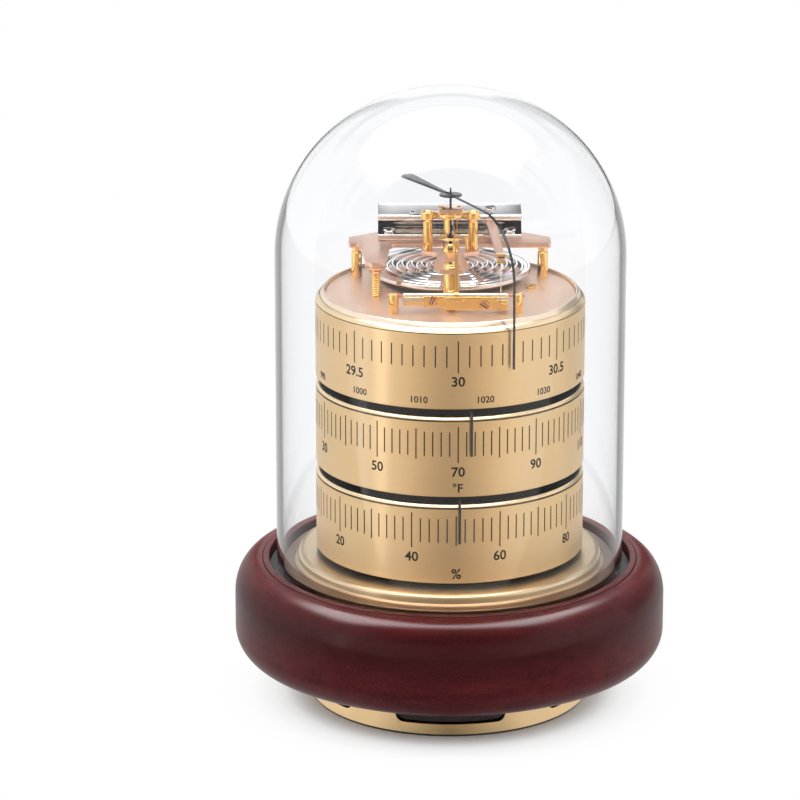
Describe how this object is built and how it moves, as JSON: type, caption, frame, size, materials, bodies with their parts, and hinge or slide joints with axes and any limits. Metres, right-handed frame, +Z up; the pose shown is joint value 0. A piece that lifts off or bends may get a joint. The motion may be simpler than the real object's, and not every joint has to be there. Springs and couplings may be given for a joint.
{
  "type": "weather station",
  "caption": "Barometer, thermometer and hygrometer drums with pointers, stacked on a round wooden base under a glass dome.",
  "frame": {"origin": "centre of the foot's underside, on the spindle axis", "axes": "+Z up along the spindle axis, -Y to the front where the pointers read, +X to the right"},
  "size_m": [0.1616, 0.1616, 0.2328],
  "materials": {
    "felt": "dense felt",
    "brass_satin": "satin, lacquered",
    "brass_polished": "polished",
    "wood": "dark red-brown satin varnish",
    "glass": "clear",
    "black_plate": "matt black",
    "copper_plate": "brushed, rose toned",
    "steel_polished": "polished, nickel plated",
    "steel_plain": "plain ground steel",
    "black_pointer": "black lacquer"
  },
  "bodies": {
    "stand": {"foot_pad": "felt", "foot_ring": "brass_satin", "foot_screws": "brass_polished", "wood_base": "wood", "base_dish": "brass_satin", "dish_screws": "brass_polished", "dome_seat": "felt", "neck_ring": "black_plate", "tie_rods": "steel_plain", "rod_nuts": "brass_polished", "stack_spacers": "black_plate", "hygrometer_floor": "black_plate", "hygrometer_drum": "brass_satin", "hygrometer_deck": "black_plate", "hygrometer_coil": "copper_plate", "thermometer_floor": "black_plate", "thermometer_drum": "brass_satin", "thermometer_deck": "black_plate", "thermometer_coil": "copper_plate", "coil_studs": "brass_polished", "barometer_floor": "black_plate", "barometer_drum": "brass_satin", "top_plate": "copper_plate", "plate_screw": "brass_polished", "aneroid_capsule": "steel_polished", "capsule_nut": "brass_polished", "pull_post": "steel_polished", "bridge_plate": "copper_plate", "bridge_posts": "brass_polished", "mainspring": "steel_polished", "spring_screws": "steel_polished", "shaft_posts": "brass_polished", "pivot_screws": "copper_plate", "movement_column": "brass_polished", "movement_plate": "copper_plate", "column_nut": "brass_polished", "movement_pillars": "brass_polished", "movement_bridge": "brass_polished", "top_block": "copper_plate", "lower_bush": "brass_polished", "hairspring": "brass_polished", "hairspring_stud": "brass_polished"},
    "dome": {"glass_dome": "glass"},
    "hygrometer_hand": {"hygrometer_spindle": "steel_plain", "hygrometer_pointer": "black_pointer"},
    "thermometer_hand": {"thermometer_spindle": "steel_plain", "thermometer_pointer": "black_pointer"},
    "barometer_hand": {"barometer_spindle": "steel_plain", "barometer_pointer": "steel_plain"},
    "rocker": {"rocking_shaft": "steel_polished", "shaft_block": "brass_polished", "regulator_strip": "brass_polished", "strip_screws": "brass_polished", "lever_arm": "brass_polished"},
    "chain": {"drive_chain": "brass_polished"},
    "pressure_lever": {"compensation_arm": "copper_plate", "arm_screw": "steel_polished", "arm_clamp": "brass_polished", "link_wire": "brass_polished"},
    "adjuster": {"adjusting_screw": "brass_polished"}
  },
  "joints": [
    {"name": "dome_lift", "type": "slide", "parent": "stand", "child": "dome", "axis": [0, 0, 1], "range_m": [0, 0.16]},
    {"name": "hygrometer_turn", "type": "hinge", "parent": "stand", "child": "hygrometer_hand", "pos_m": [0, 0, 0.09], "axis": [0, 0, 1], "range_deg": [-95.2, 92.6], "stiffness_Nm_per_rad": 0.00002},
    {"name": "thermometer_turn", "type": "hinge", "parent": "stand", "child": "thermometer_hand", "pos_m": [0, 0, 0.12], "axis": [0, 0, 1], "range_deg": [-93, 83], "stiffness_Nm_per_rad": 0.00002},
    {"name": "barometer_turn", "type": "hinge", "parent": "stand", "child": "barometer_hand", "pos_m": [0, 0, 0.18], "axis": [0, 0, 1], "range_deg": [-119.5, 71.7], "stiffness_Nm_per_rad": 0.0002},
    {"name": "rocker_turn", "type": "hinge", "parent": "stand", "child": "rocker", "pos_m": [0.0016, -0.0286, 0.1626], "axis": [1, 0, 0], "range_deg": [-3.6, 6]},
    {"name": "chain_pull", "type": "slide", "parent": "stand", "child": "chain", "axis": [0, 1, 0], "range_m": [-0.0019, 0.00115]},
    {"name": "pressure_turn", "type": "hinge", "parent": "stand", "child": "pressure_lever", "pos_m": [0.0155, 0.037, 0.175], "axis": [1, 0, 0], "range_deg": [-0.21, 0.13]},
    {"name": "adjuster_turn", "type": "hinge", "parent": "stand", "child": "adjuster", "pos_m": [-0.0275, -0.0068, 0.162], "axis": [0, 0, 1], "range_deg": [-180, 180]}
  ],
  "couplings": [
    {"joint": "rocker_turn", "follows": "barometer_turn", "ratio": -0.05},
    {"joint": "chain_pull", "follows": "barometer_turn", "m_per_rad": 0.0009},
    {"joint": "pressure_turn", "follows": "barometer_turn", "ratio": 0.001735}
  ]
}
